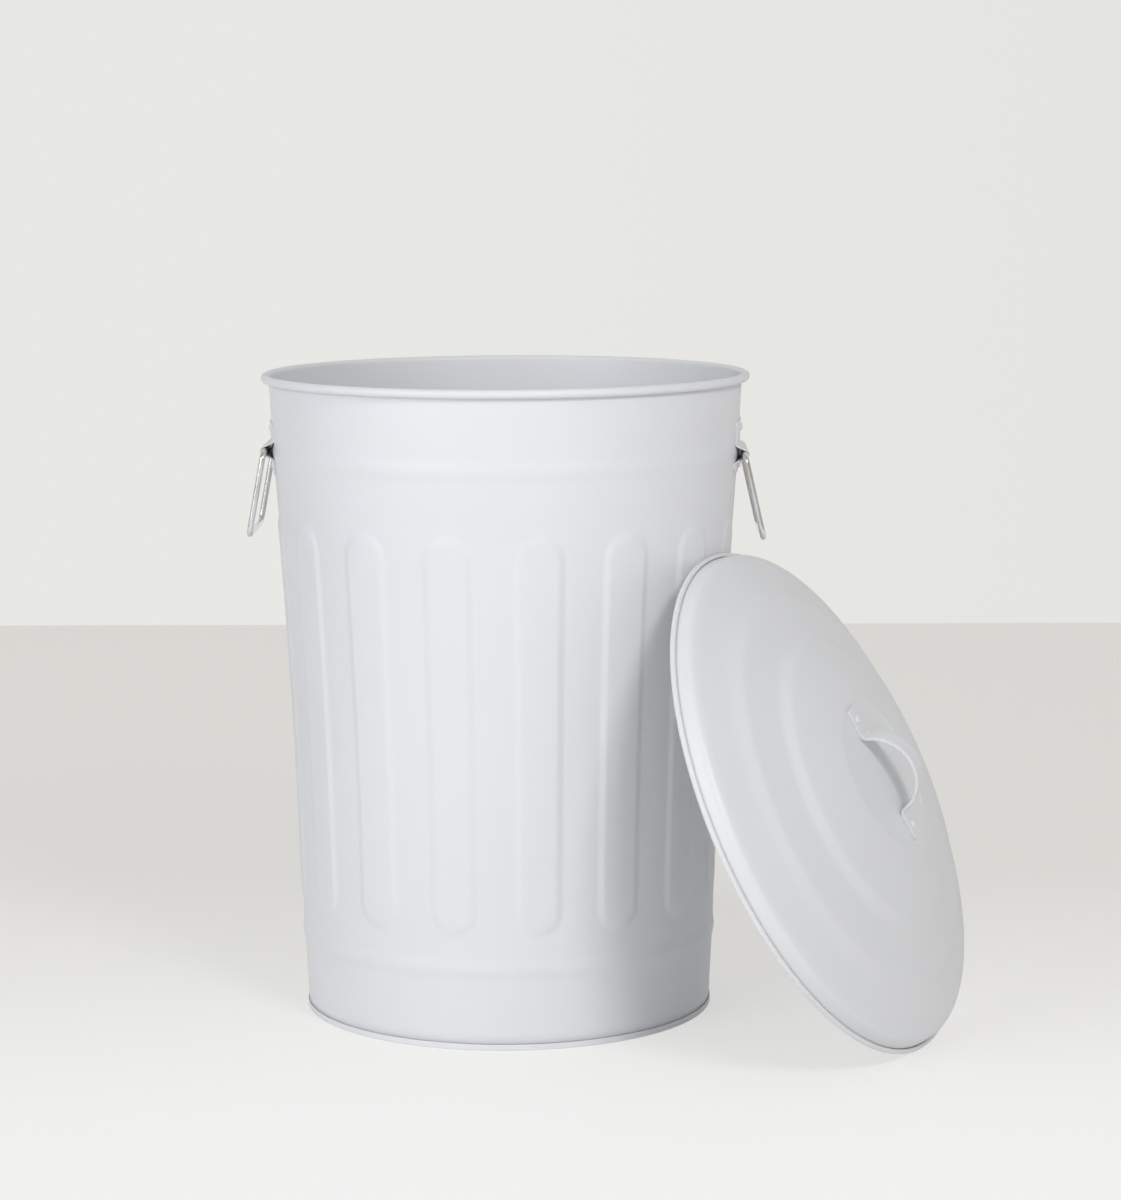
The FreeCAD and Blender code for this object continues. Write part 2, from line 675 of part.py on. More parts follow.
def make_lid_handle():
    """Strap bent to an arch with two flat feet, drawn in side view and padded to its width."""
    top = "Sizes.seat_rise + Sizes.strap"
    bend_centre_rise = "(Sizes.seat_rise + Sizes.strap / 2 + Sizes.strap_bend)"
    reach = "(Sizes.strap_arch + Sizes.strap_bend)"
    bend_up = "(%s - Sizes.arch_rise)" % bend_centre_rise
    bend_across = "sqrt(%s * %s - %s * %s)" % (reach, reach, bend_up, bend_up)

    def crossing(sign, arch_text):
        """Where the arch meets a bend, on a circle of the given radius round the arch's centre."""
        return ("%s(%s) * %s / %s" % (sign, arch_text, bend_across, reach),
                "Sizes.arch_rise + (%s) * %s / %s" % (arch_text, bend_up, reach))

    over = "Sizes.strap_arch + Sizes.strap / 2"
    under = "Sizes.strap_arch - Sizes.strap / 2"
    points = [
        ("-Sizes.strap_tip", "Sizes.seat_rise"), ("-%s" % bend_across, "Sizes.seat_rise"),
        crossing("-", under), crossing("", under),
        (bend_across, "Sizes.seat_rise"), ("Sizes.strap_tip", "Sizes.seat_rise"),
        ("Sizes.strap_tip", top), (bend_across, top),
        crossing("", over), crossing("-", over),
        ("-%s" % bend_across, top), ("-Sizes.strap_tip", top),
    ]
    outer_bend = "Sizes.strap_bend + Sizes.strap / 2"
    inner_bend = "Sizes.strap_bend - Sizes.strap / 2"
    arcs = {
        1: (outer_bend, 1, False), 2: (under, -1, False), 3: (outer_bend, 1, False),
        7: (inner_bend, -1, False), 8: (over, 1, False), 9: (inner_bend, -1, False),
    }
    handle = padded_body("lid_handle", "YZ_Plane", points, arcs, "Sizes.strap_width", True)
    holes = add_sketch(handle, "handle_rivet_holes", "XY_Plane")
    for sign in ("", "-"):
        add_circle(holes, "0", "%sSizes.strap_rivet" % sign, "Sizes.lid_rivet_shank + Sizes.hole_gap")
    doc.recompute()
    pierced = handle.newObject("PartDesign::Pocket", "handle_pierced")
    pierced.Profile = holes
    pierced.Type = "ThroughAll"
    pierced.Reversed = True
    doc.recompute()
    tip_edges = []
    for number, edge in enumerate(pierced.Shape.Edges, start=1):
        upright = abs(edge.tangentAt(edge.FirstParameter).z) > 0.99
        middle = edge.CenterOfMass
        if upright and abs(abs(middle.y) - size("strap_tip")) < 0.01:
            tip_edges.append("Edge%d" % number)
    rounded = handle.newObject("PartDesign::Fillet", "handle_tips")
    rounded.Base = (pierced, tip_edges)
    rounded.setExpression("Radius", "Sizes.strap_corner")
    handle.Placement = handle_placement()
    return handle


def make_lid_rivets():
    """The two rivets that hold the handle to the lid."""
    grip = "Sizes.strap + Sizes.sheet"
    rivets = []
    for number, sign in enumerate((1, -1), start=1):
        seat = FreeCAD.Vector(0, sign * size("strap_rivet"), size("seat_rise") + size("strap"))
        placement = handle_placement().multiply(FreeCAD.Placement(seat, FreeCAD.Rotation()))
        rivets.append(make_rivet("lid_rivets_%d" % number, "Sizes.lid_rivet_head", "Sizes.lid_rivet_rise",
                                 "Sizes.lid_rivet_shank", grip, "Sizes.lid_rivet_tail", placement))
    pair = doc.addObject("Part::Compound", "lid_rivets")
    pair.Links = rivets
    return pair


# ---------------------------------------------------------------- build, check and export
wall_shell = make_wall_shell()
wall_seam = make_seam()
doc.recompute()
nodes = {
    "body_wall": make_body_wall(wall_shell, wall_seam),
    "base_pan": make_base_pan(),
    "bracket_right": make_bracket("bracket_right", 0, "Sizes.pivot_z_right"),
    "bracket_left": make_bracket("bracket_left", 180, "Sizes.pivot_z_left"),
    "bracket_rivets_right": make_bracket_rivets("bracket_rivets_right", 0),
    "bracket_rivets_left": make_bracket_rivets("bracket_rivets_left", 180),
    "bail_right": make_bail("bail_right", 1, "splay_right", "pivot_z_right"),
    "bail_left": make_bail("bail_left", -1, "splay_left", "pivot_z_left"),
    "lid_shell": make_lid_shell(),
    "lid_handle": make_lid_handle(),
    "lid_rivets": make_lid_rivets(),
}
doc.recompute()

for item in doc.Objects:
    if "Invalid" in item.State or "Error" in item.State:
        raise RuntimeError("%s did not compute: %s" % (item.Name, item.State))

for name, item in nodes.items():
    item.Label = name
    shape = item.Shape
    if shape.isNull() or not shape.isValid():
        raise RuntimeError("%s has no valid shape" % name)
    if any(solid.Volume <= 0 for solid in shape.Solids) or not shape.Solids:
        raise RuntimeError("%s is not solid" % name)
    shape.exportStep("parts/%s.step" % name)
    print("%-22s solids %d  volume %9.0f  %s" % (name, len(shape.Solids), shape.Volume, shape.BoundBox))
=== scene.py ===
import logging
import math
from dataclasses import dataclass, field
from enum import Enum
from typing import Callable, Iterable, Sequence

import bmesh
import bpy
from mathutils import Matrix, Vector


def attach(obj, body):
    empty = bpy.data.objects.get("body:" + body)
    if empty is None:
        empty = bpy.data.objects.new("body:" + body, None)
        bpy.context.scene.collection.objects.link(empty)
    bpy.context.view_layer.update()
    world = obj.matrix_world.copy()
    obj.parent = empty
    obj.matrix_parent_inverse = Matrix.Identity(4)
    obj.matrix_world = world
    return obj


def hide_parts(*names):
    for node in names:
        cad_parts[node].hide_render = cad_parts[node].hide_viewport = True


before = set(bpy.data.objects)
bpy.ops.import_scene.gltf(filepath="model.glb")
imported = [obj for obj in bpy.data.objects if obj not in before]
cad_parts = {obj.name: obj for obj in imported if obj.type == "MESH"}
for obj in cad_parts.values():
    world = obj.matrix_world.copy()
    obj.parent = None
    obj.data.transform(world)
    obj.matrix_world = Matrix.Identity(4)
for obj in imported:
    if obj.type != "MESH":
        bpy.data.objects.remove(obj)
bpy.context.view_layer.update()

MM = 0.001
LOG = logging.getLogger("trash_can")
Point = tuple[float, float]
Colour = tuple[float, float, float]


class Body(Enum):
    """The bodies that move as one."""

    CAN = "can"
    LID = "lid"
    BAIL_LEFT = "bail_left"
    BAIL_RIGHT = "bail_right"


class Slot(Enum):
    """The names of the finishes."""

    CAN_PAINT = "can_paint"
    LID_PAINT = "lid_paint"
    WIRE = "plated_wire"


class Side(Enum):
    """Which side of the can a bail and its bracket sit on."""

    RIGHT = 1
    LEFT = -1

    @property
    def word(self) -> str:
        """The side's name as it stands in node names."""
        return self.name.lower()

    @property
    def turn(self) -> Matrix:
        """Half turn about the can's axis for the left side."""
        return Matrix.Rotation(0.0 if self is Side.RIGHT else math.pi, 4, "Z")


# ---------------------------------------------------------------- mesh helpers
class Outline:
    """A chain of edges in the XZ plane, grown from its last vertex, then lathed or drawn out.

    Across is the radius, or the distance along X, and up the height, in millimetres.
    """

    def __init__(self, across: float, up: float) -> None:
        """Start the chain.

        Args:
            across: Radius of the first vertex.
            up: Height of the first vertex.
        """
        self.bm = bmesh.new()
        self.tip = self.bm.verts.new((across, 0.0, up))
        self.soft: list[tuple[bmesh.types.BMVert, float, int]] = []

    def line(self, across: float, up: float, steps: int = 1, soften: float = 0.0,
             segments: int = 4) -> None:
        """Extrude a straight run to a point.

        Args:
            across: Radius of the end.
            up: Height of the end.
            steps: Number of equal edges in the run.
            soften: Distance from the end at which its corner starts to round, or 0 for none.
            segments: Edges in that rounding.
        """
        move = (Vector((across, 0.0, up)) - self.tip.co) / steps
        for _ in range(steps):
            made = bmesh.ops.extrude_vert_indiv(self.bm, verts=[self.tip])
            self.tip = made["verts"][0]
            bmesh.ops.translate(self.bm, verts=[self.tip], vec=move)
        if soften > 0.0:
            self.soft.append((self.tip, soften, segments))

    def arc(self, centre: Point, degrees: float, steps: int) -> None:
        """Spin the last vertex round a centre; positive degrees turn anticlockwise.

        Args:
            centre: Radius and height of the arc's centre.
            degrees: Angle of the arc.
            steps: Number of edges.
        """
        made = bmesh.ops.spin(self.bm, geom=[self.tip], cent=(centre[0], 0.0, centre[1]),
                              axis=(0.0, -1.0, 0.0), dvec=(0.0, 0.0, 0.0), angle=math.radians(degrees),
                              steps=steps, use_duplicate=False, use_merge=False)
        self.tip = next(part for part in made["geom_last"] if isinstance(part, bmesh.types.BMVert))

    def round_corners(self) -> None:
        """Round every corner that was given a softening."""
        for vert, offset, segments in self.soft:
            bmesh.ops.bevel(self.bm, geom=[vert], offset=offset, offset_type="OFFSET", segments=segments,
                            profile=0.5, affect="VERTICES", material=-1)
        self.soft.clear()

    def lathe(self, steps: int) -> bmesh.types.BMesh:
        """Turn the chain once round Z.

        Args:
            steps: Number of columns round the shell.

        Returns:
            The turned mesh, with its pole merged.
        """
        self.round_corners()
        bmesh.ops.spin(self.bm, geom=self.bm.verts[:] + self.bm.edges[:], cent=(0.0, 0.0, 0.0),
                       axis=(0.0, 0.0, 1.0), dvec=(0.0, 0.0, 0.0), angle=2.0 * math.pi, steps=steps,
                       use_duplicate=False, use_merge=True)
        bmesh.ops.remove_doubles(self.bm, verts=self.bm.verts[:], dist=0.0005)
        return self.bm

    def drawn(self, width: float, steps: int) -> bmesh.types.BMesh:
        """Draw the chain out along Y, half to each side.

        Args:
            width: Whole width of the strip.
            steps: Number of columns across it.

        Returns:
            The strip's mesh.
        """
        self.round_corners()
        bmesh.ops.translate(self.bm, verts=self.bm.verts[:], vec=(0.0, -width / 2, 0.0))
        bmesh.ops.spin(self.bm, geom=self.bm.verts[:] + self.bm.edges[:], cent=(0.0, 0.0, 0.0),
                       axis=(0.0, 0.0, 1.0), dvec=(0.0, width / steps, 0.0), angle=0.0, steps=steps,
                       use_duplicate=False, use_merge=False)
        return self.bm


def add_solidify(piece: bpy.types.Object, thickness: float, offset: float) -> None:
    """Give a shell its sheet thickness.

    Args:
        piece: The object.
        thickness: Sheet thickness in millimetres.
        offset: -1 grows behind the faces, 1 in front of them.
    """
    modifier = piece.modifiers.new("sheet", "SOLIDIFY")
    modifier.thickness = thickness * MM
    modifier.offset = offset
    modifier.use_even_offset = True
    modifier.use_quality_normals = True


def add_bevel(piece: bpy.types.Object, width: float, segments: int, degrees: float = 40.0) -> None:
    """Round the sharp edges of a piece.

    Args:
        piece: The object.
        width: Width of the rounding in millimetres.
        segments: Faces across it.
        degrees: Only edges sharper than this are rounded.
    """
    modifier = piece.modifiers.new("edges", "BEVEL")
    modifier.width = width * MM
    modifier.segments = segments
    modifier.limit_method = "ANGLE"
    modifier.angle_limit = math.radians(degrees)
    modifier.harden_normals = False


def make_piece(bm: bmesh.types.BMesh, name: str, body: Body, material: bpy.types.Material,
               replaces: Sequence[str] = (), place: Matrix = Matrix.Identity(4),
               outward: bool = True) -> bpy.types.Object:
    """Turn a mesh built in millimetres into a finished piece of the object.

    Args:
        bm: The mesh; it is freed.
        name: Name of the piece.
        body: The body that it rides on.
        material: Its material.
        replaces: CAD nodes that it stands for.
        place: Where the mesh goes, in millimetres.
        outward: Whether closed faces are turned outwards first.

    Returns:
        The object, at the origin with its place in its mesh.
    """
    if outward:
        bmesh.ops.recalc_face_normals(bm, faces=bm.faces[:])
    bmesh.ops.transform(bm, matrix=Matrix.Scale(MM, 4) @ place, verts=bm.verts[:])
    for face in bm.faces:
        face.smooth = True
    mesh = bpy.data.meshes.new(name)
    bm.to_mesh(mesh)
    bm.free()
    mesh.materials.append(material)
    piece = bpy.data.objects.new(name, mesh)
    bpy.context.scene.collection.objects.link(piece)
    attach(piece, body.value)
    if replaces:
        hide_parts(*replaces)
    LOG.info("%s: %d faces on %s", name, len(mesh.polygons), body.value)
    return piece


def face_towards(bm: bmesh.types.BMesh, wanted: Callable[[Vector], Vector]) -> None:
    """Turn an open shell so that its faces look the wanted way.

    Args:
        bm: The mesh.
        wanted: Gives the wanted direction at a point.
    """
    bmesh.ops.recalc_face_normals(bm, faces=bm.faces[:])
    score = sum(face.normal.dot(wanted(face.calc_center_median())) * face.calc_area() for face in bm.faces)
    if score < 0.0:
        bmesh.ops.reverse_faces(bm, faces=bm.faces[:])


def blend_step(value: float) -> float:
    """Smooth 0 to 1 step, flat at both ends."""
    value = min(1.0, max(0.0, value))
    return value * value * (3.0 - 2.0 * value)


def evenly(low: float, high: float, steps: int) -> list[float]:
    """Heights above low up to high in equal steps."""
    return [low + (high - low) * number / steps for number in range(1, steps + 1)]


# ---------------------------------------------------------------- materials
class Shader:
    """A small builder for one node tree."""

    def __init__(self, tree: bpy.types.NodeTree) -> None:
        """Keep the tree to build in.

        Args:
            tree: A material's or group's node tree.
        """
        self.tree = tree

    def add(self, kind: str, **values: object) -> bpy.types.Node:
        """Add a node and set its plain properties.

        Args:
            kind: Node type name.
            values: Property values.

        Returns:
            The node.
        """
        node = self.tree.nodes.new(kind)
        for key, value in values.items():
            setattr(node, key, value)
        return node

    def link(self, source: bpy.types.NodeSocket, target: bpy.types.NodeSocket) -> None:
        """Join an output to an input."""
        self.tree.links.new(source, target)

    def noise(self, coordinate: bpy.types.NodeSocket, scale: float | bpy.types.NodeSocket, detail: float,
              roughness: float = 0.5) -> bpy.types.NodeSocket:
        """Noise over a coordinate.

        Args:
            coordinate: The vector to read.
            scale: Scale, as a number or a socket.
            detail: Octaves.
            roughness: Weight of the finer octaves.

        Returns:
            The factor socket.
        """
        node = self.add("ShaderNodeTexNoise")
        node.inputs["Detail"].default_value = detail
        node.inputs["Roughness"].default_value = roughness
        if isinstance(scale, bpy.types.NodeSocket):
            self.link(scale, node.inputs["Scale"])
        else:
            node.inputs["Scale"].default_value = scale
        self.link(coordinate, node.inputs["Vector"])
        return node.outputs["Fac"]

    def remap(self, value: bpy.types.NodeSocket, low: float, high: float,
              to_low: float | bpy.types.NodeSocket,
              to_high: float | bpy.types.NodeSocket) -> bpy.types.NodeSocket:
        """Map a range onto another, clamped.

        Args:
            value: Value to map.
            low: Start of its range.
            high: End of its range.
            to_low: Result at the start.
            to_high: Result at the end.

        Returns:
            The result socket.
        """
        node = self.add("ShaderNodeMapRange", clamp=True)
        self.link(value, node.inputs["Value"])
        node.inputs["From Min"].default_value = low
        node.inputs["From Max"].default_value = high
        for key, target in (("To Min", to_low), ("To Max", to_high)):
            if isinstance(target, bpy.types.NodeSocket):
                self.link(target, node.inputs[key])
            else:
                node.inputs[key].default_value = target
        return node.outputs["Result"]

    def mix(self, factor: bpy.types.NodeSocket, first: Colour | bpy.types.NodeSocket,
            second: Colour | bpy.types.NodeSocket) -> bpy.types.NodeSocket:
        """Mix two colours.

        Args:
            factor: Share of the second.
            first: A colour or a socket.
            second: A colour or a socket.

        Returns:
            The colour socket.
        """
        node = self.add("ShaderNodeMix", data_type="RGBA")
        self.link(factor, node.inputs["Factor"])
        for socket, value in ((node.inputs[6], first), (node.inputs[7], second)):
            if isinstance(value, bpy.types.NodeSocket):
                self.link(value, socket)
            else:
                socket.default_value = (*value, 1.0)
        return node.outputs[2]

    def sum(self, first: bpy.types.NodeSocket, second: bpy.types.NodeSocket | float,
            operation: str = "ADD") -> bpy.types.NodeSocket:
        """Combine two values by an arithmetic operation.

        Args:
            first: First value.
            second: Second value or a number.
            operation: Name of the operation.

        Returns:
            The value socket.
        """
        node = self.add("ShaderNodeMath", operation=operation)
        self.link(first, node.inputs[0])
        if isinstance(second, bpy.types.NodeSocket):
            self.link(second, node.inputs[1])
        else:
            node.inputs[1].default_value = second
        return node.outputs[0]


class CoatTexture:
    """Node group for the fine surface of baked powder paint: orange peel, tone drift and faint dust."""

    NAME = "powder coat surface"
    DRIFT_SCALE = 5.0
    SPECK_SCALE = 900.0
    WAVE_SCALE = 60.0
    GLOSS_SCALE = 22.0

    @classmethod
    def group(cls) -> bpy.types.NodeTree:
        """Build the group once and return it."""
        known = bpy.data.node_groups.get(cls.NAME)
        if known:
            return known
        tree = bpy.data.node_groups.new(cls.NAME, "ShaderNodeTree")
        inputs = (("Colour", "NodeSocketColor"), ("Drift Colour", "NodeSocketColor"),
                  ("Peel Scale", "NodeSocketFloat"), ("Roughness Low", "NodeSocketFloat"),
                  ("Roughness High", "NodeSocketFloat"))
        for name, kind in inputs:
            tree.interface.new_socket(name=name, in_out="INPUT", socket_type=kind)
        for name, kind in (("Colour", "NodeSocketColor"), ("Roughness", "NodeSocketFloat"),
                           ("Height", "NodeSocketFloat")):
            tree.interface.new_socket(name=name, in_out="OUTPUT", socket_type=kind)
        shader = Shader(tree)
        given = shader.add("NodeGroupInput")
        result = shader.add("NodeGroupOutput")
        place = shader.add("ShaderNodeTexCoord").outputs["Object"]
        drift = shader.noise(place, cls.DRIFT_SCALE, 3.0)
        speck = shader.noise(place, cls.SPECK_SCALE, 2.0, 0.7)
        tone = shader.mix(shader.remap(drift, 0.35, 0.7, 0.0, 1.0), given.outputs["Colour"],
                          given.outputs["Drift Colour"])
        fine = shader.mix(shader.remap(speck, 0.62, 0.8, 0.0, 0.35), tone, given.outputs["Drift Colour"])
        peel = shader.noise(place, given.outputs["Peel Scale"], 2.0, 0.45)
        wave = shader.noise(place, cls.WAVE_SCALE, 1.0)
        height = shader.sum(peel, shader.sum(wave, 0.6, "MULTIPLY"))
        gloss = shader.noise(place, cls.GLOSS_SCALE, 4.0)
        rough = shader.remap(gloss, 0.3, 0.7, given.outputs["Roughness Low"], given.outputs["Roughness High"])
        shader.link(fine, result.inputs["Colour"])
        shader.link(rough, result.inputs["Roughness"])
        shader.link(height, result.inputs["Height"])
        return tree


@dataclass(frozen=True)
class PowderCoat:
    """Baked powder paint on sheet steel."""

    name: str
    colour: Colour
    drift: Colour
    rough: tuple[float, float] = (0.4, 0.47)
    peel_scale: float = 520.0
    peel: float = 0.05
    peel_depth: float = 0.0004

    def material(self) -> bpy.types.Material:
        """Build the material, or return it if it is there.

        Returns:
            The painted material.
        """
        known = bpy.data.materials.get(self.name)
        if known:
            return known
        material = bpy.data.materials.new(self.name)
        material.use_nodes = True
        shader = Shader(material.node_tree)
        surface = material.node_tree.nodes["Principled BSDF"]
        coat = shader.add("ShaderNodeGroup", node_tree=CoatTexture.group())
        coat.inputs["Colour"].default_value = (*self.colour, 1.0)
        coat.inputs["Drift Colour"].default_value = (*self.drift, 1.0)
        coat.inputs["Peel Scale"].default_value = self.peel_scale
        coat.inputs["Roughness Low"].default_value = self.rough[0]
        coat.inputs["Roughness High"].default_value = self.rough[1]
        bump = shader.add("ShaderNodeBump")
        bump.inputs["Strength"].default_value = self.peel
        bump.inputs["Distance"].default_value = self.peel_depth
        shader.link(coat.outputs["Height"], bump.inputs["Height"])
        shader.link(bump.outputs["Normal"], surface.inputs["Normal"])
        shader.link(coat.outputs["Colour"], surface.inputs["Base Color"])
        shader.link(coat.outputs["Roughness"], surface.inputs["Roughness"])
        surface.inputs["Specular IOR Level"].default_value = 0.5
        return material


@dataclass(frozen=True)
class ZincPlate:
    """Bright zinc plating on drawn wire."""

    name: str = "bright zinc wire"
    clear: Colour = (0.78, 0.79, 0.8)
    stained: Colour = (0.7, 0.66, 0.58)
    stain_scale: float = 45.0
    streak_scale: tuple[float, float, float] = (1800.0, 240.0, 120.0)
    rough: tuple[float, float] = (0.12, 0.3)
    grain: float = 0.12
    grain_depth: float = 0.0002

    def material(self) -> bpy.types.Material:
        """Build the material, or return it if it is there.

        Returns:
            The plated wire's material.
        """
        known = bpy.data.materials.get(self.name)
        if known:
            return known
        material = bpy.data.materials.new(self.name)
        material.use_nodes = True
        shader = Shader(material.node_tree)
        surface = material.node_tree.nodes["Principled BSDF"]
        place = shader.add("ShaderNodeTexCoord").outputs["Object"]
        cloud = shader.noise(place, self.stain_scale, 4.0)
        tint = shader.mix(shader.remap(cloud, 0.45, 0.7, 0.0, 1.0), self.clear, self.stained)
        streaks = shader.add("ShaderNodeMapping")
        streaks.inputs["Scale"].default_value = self.streak_scale
        shader.link(place, streaks.inputs["Vector"])
        drawn = shader.noise(streaks.outputs["Vector"], 1.0, 3.0)
        rough = shader.remap(drawn, 0.3, 0.75, *self.rough)
        bump = shader.add("ShaderNodeBump")
        bump.inputs["Strength"].default_value = self.grain
        bump.inputs["Distance"].default_value = self.grain_depth
        shader.link(drawn, bump.inputs["Height"])
        shader.link(bump.outputs["Normal"], surface.inputs["Normal"])
        shader.link(tint, surface.inputs["Base Color"])
        shader.link(rough, surface.inputs["Roughness"])
        surface.inputs["Metallic"].default_value = 1.0
        return material


@dataclass(frozen=True)
class StudioSurface:
    """Matt floor or backdrop with a painted light falloff: its tone runs from lighter to darker along one
    axis.

    The share that is shown is its plain tone, without light or shadow, to the eye and in reflections.
    """

    name: str
    near: Colour
    far: Colour
    span: tuple[float, float]
    axis: str = "Y"
    shown: float = 1.0
    rough: float = 0.9
    specular: float = 0.1

    def material(self) -> bpy.types.Material:
        """Build the matt material.

        Returns:
            The stage material.
        """
        material = bpy.data.materials.new(self.name)
        material.use_nodes = True
        shader = Shader(material.node_tree)
        surface = material.node_tree.nodes["Principled BSDF"]
        place = shader.add("ShaderNodeTexCoord").outputs["Object"]
        split = shader.add("ShaderNodeSeparateXYZ")
        shader.link(place, split.inputs["Vector"])
        # Painted light falloff: the tone is mixed from the near colour to the far colour along the axis.
        share = shader.remap(split.outputs[self.axis], self.span[0], self.span[1], 0.0, 1.0)
        tone = shader.mix(share, self.near, self.far)
        shader.link(tone, surface.inputs["Base Color"])
        surface.inputs["Roughness"].default_value = self.rough
        surface.inputs["Specular IOR Level"].default_value = self.specular
        path = shader.add("ShaderNodeLightPath")
        seen = shader.sum(path.outputs["Is Camera Ray"], path.outputs["Is Glossy Ray"])
        seen = shader.sum(seen, path.outputs["Is Transmission Ray"])
        glow = shader.add("ShaderNodeEmission")
        shader.link(tone, glow.inputs["Color"])
        blend = shader.add("ShaderNodeMixShader")
        shader.link(shader.sum(seen, self.shown, "MULTIPLY"), blend.inputs[0])
        shader.link(surface.outputs["BSDF"], blend.inputs[1])
        shader.link(glow.outputs["Emission"], blend.inputs[2])
        shader.link(blend.outputs[0], material.node_tree.nodes["Material Output"].inputs["Surface"])
        return material


CAN_COAT = PowderCoat("can powder coat", (0.79, 0.797, 0.82), (0.77, 0.777, 0.8))
LID_COAT = PowderCoat("lid powder coat", (0.79, 0.797, 0.815), (0.77, 0.777, 0.795))
WIRE_PLATE = ZincPlate()


# ---------------------------------------------------------------- can wall
@dataclass
class CanWall:
    """Tapered, waisted wall with two ring beads, raised flutes and an outward-rolled rim."""

    base_radius: float = 171.3
    tilt: float = 2.913
    height: float = 540.0
    sheet: float = 0.8
    curl_radius: float = 3.6
    curl_end: float = 125.0
    beads: tuple[float, float] = (67.0, 474.0)
    bead_half: float = 8.0
    bead_height: float = 1.2
    waist: tuple[float, float, float] = (75.0, 466.0, 3.0)
    flute_count: int = 16
    flute_first: float = 9.5
    flute_half: float = 6.5
    flute_span: tuple[float, float] = (94.0, 423.0)
    flute_height: float = 1.6
    flank: float = 6.5
    half_steps: tuple[int, int, int] = (3, 8, 3)
    half_edges: tuple[float, float] = (4.1, 7.1)
    foot: float = 0.8
    relief_top: float = 533.0
    rise: float = field(init=False)

    def __post_init__(self) -> None:
        """Work out the wall's slope."""
        self.rise = math.tan(math.radians(self.tilt))

    def cone(self, height: float) -> float:
        """Outer radius of the plain cone at a height."""
        return self.base_radius + height * self.rise

    def skin(self, height: float) -> float:
        """Outer radius at a height with waist and beads, away from the flutes."""
        radius = self.cone(height)
        low, high, depth = self.waist
        if low < height < high:
            share = (height - (low + high) / 2) / ((high - low) / 2)
            radius -= depth * (1.0 - share * share)
        for centre in self.beads:
            away = abs(height - centre) / self.bead_half
            if away < 1.25:
                radius += self.bead_height * blend_step(1.0 - away / 1.25)
        return radius

    def flute_relief(self, azimuth: float, height: float) -> float:
        """Height of the flutes above the wall.

        Args:
            azimuth: Degrees from the front towards +X.
            height: Height above the floor.

        Returns:
            Relief in millimetres.
        """
        low, high = self.flute_span
        if not low < height < high:
            return 0.0
        pitch = 360.0 / self.flute_count
        away = (azimuth - self.flute_first + pitch / 2) % pitch - pitch / 2
        radius = self.skin(height)
        across = abs(math.radians(away)) * radius
        half = math.radians(self.flute_half) * radius
        if height < low + half:
            inside = half - math.hypot(across, low + half - height)
        elif height > high - half:
            inside = half - math.hypot(across, height - high + half)
        else:
            inside = half - across
        share = min(1.0, max(0.0, inside / self.flank))
        return self.flute_height * (0.45 * share + 0.55 * blend_step(share))

    def rows(self) -> list[float]:
        """Heights of the mesh rows, close together where the shape turns."""
        plan = ((0.8, 54.0, 4), (54.0, 80.0, 11), (80.0, 91.0, 2), (91.0, 124.0, 14), (124.0, 392.0, 9),
                (392.0, 426.0, 14), (426.0, 461.0, 3), (461.0, 487.0, 11), (487.0, 534.0, 4))
        return [height for low, high, steps in plan for height in evenly(low, high, steps)]

    def spread(self, azimuth: float) -> float:
        """Move evenly spaced columns so that they crowd on the flanks of the flutes.

        Args:
            azimuth: Even azimuth in degrees, 0 on a flute's centre line.

        Returns:
            The azimuth after crowding.
        """
        pitch = 360.0 / self.flute_count
        count = sum(self.half_steps)
        turn = round(azimuth / pitch)
        away = azimuth - turn * pitch
        step = abs(away) / (pitch / 2) * count
        marks = (0.0, self.half_edges[0], self.half_edges[1], pitch / 2)
        start = 0
        for number, steps in enumerate(self.half_steps):
            if step <= start + steps + 1e-6 or number == 2:
                share = (step - start) / steps
                moved = marks[number] + share * (marks[number + 1] - marks[number])
                break
            start += steps
        return turn * pitch + math.copysign(moved, away)

    def build(self, material: bpy.types.Material) -> bpy.types.Object:
        """Build the wall.

        Args:
            material: Its paint.

        Returns:
            The wall piece.
        """
        inner = self.curl_radius - self.sheet
        angle = math.radians(self.tilt)
        rim_z = self.height - self.curl_radius
        rim_r = self.cone(rim_z) + inner / math.cos(angle)
        outline = Outline(self.cone(self.foot), self.foot)
        for height in self.rows():
            outline.line(self.cone(height), height)
        outline.line(rim_r - inner * math.cos(angle), rim_z + inner * math.sin(angle))
        outline.arc((rim_r, rim_z), -(180.0 - self.tilt + self.curl_end), 22)
        columns = self.flute_count * 2 * sum(self.half_steps)
        bm = outline.lathe(columns)
        for vert in bm.verts:
            even = math.degrees(math.atan2(vert.co.y, vert.co.x))
            azimuth = self.spread(even) + self.flute_first
            radius = math.hypot(vert.co.x, vert.co.y)
            if vert.co.z < self.relief_top and radius < self.cone(self.relief_top) + 0.01:
                radius += self.skin(vert.co.z) - self.cone(vert.co.z)
                radius += self.flute_relief(azimuth, vert.co.z)
            turn = math.radians(azimuth - 90.0)
            vert.co.x = radius * math.cos(turn)
            vert.co.y = radius * math.sin(turn)
        face_towards(bm, lambda spot: Vector((spot.x, spot.y, 0.0)))
        wall = make_piece(bm, "can_wall", Body.CAN, material, ("body_wall",), outward=False)
        add_solidify(wall, self.sheet, -1.0)
        return wall


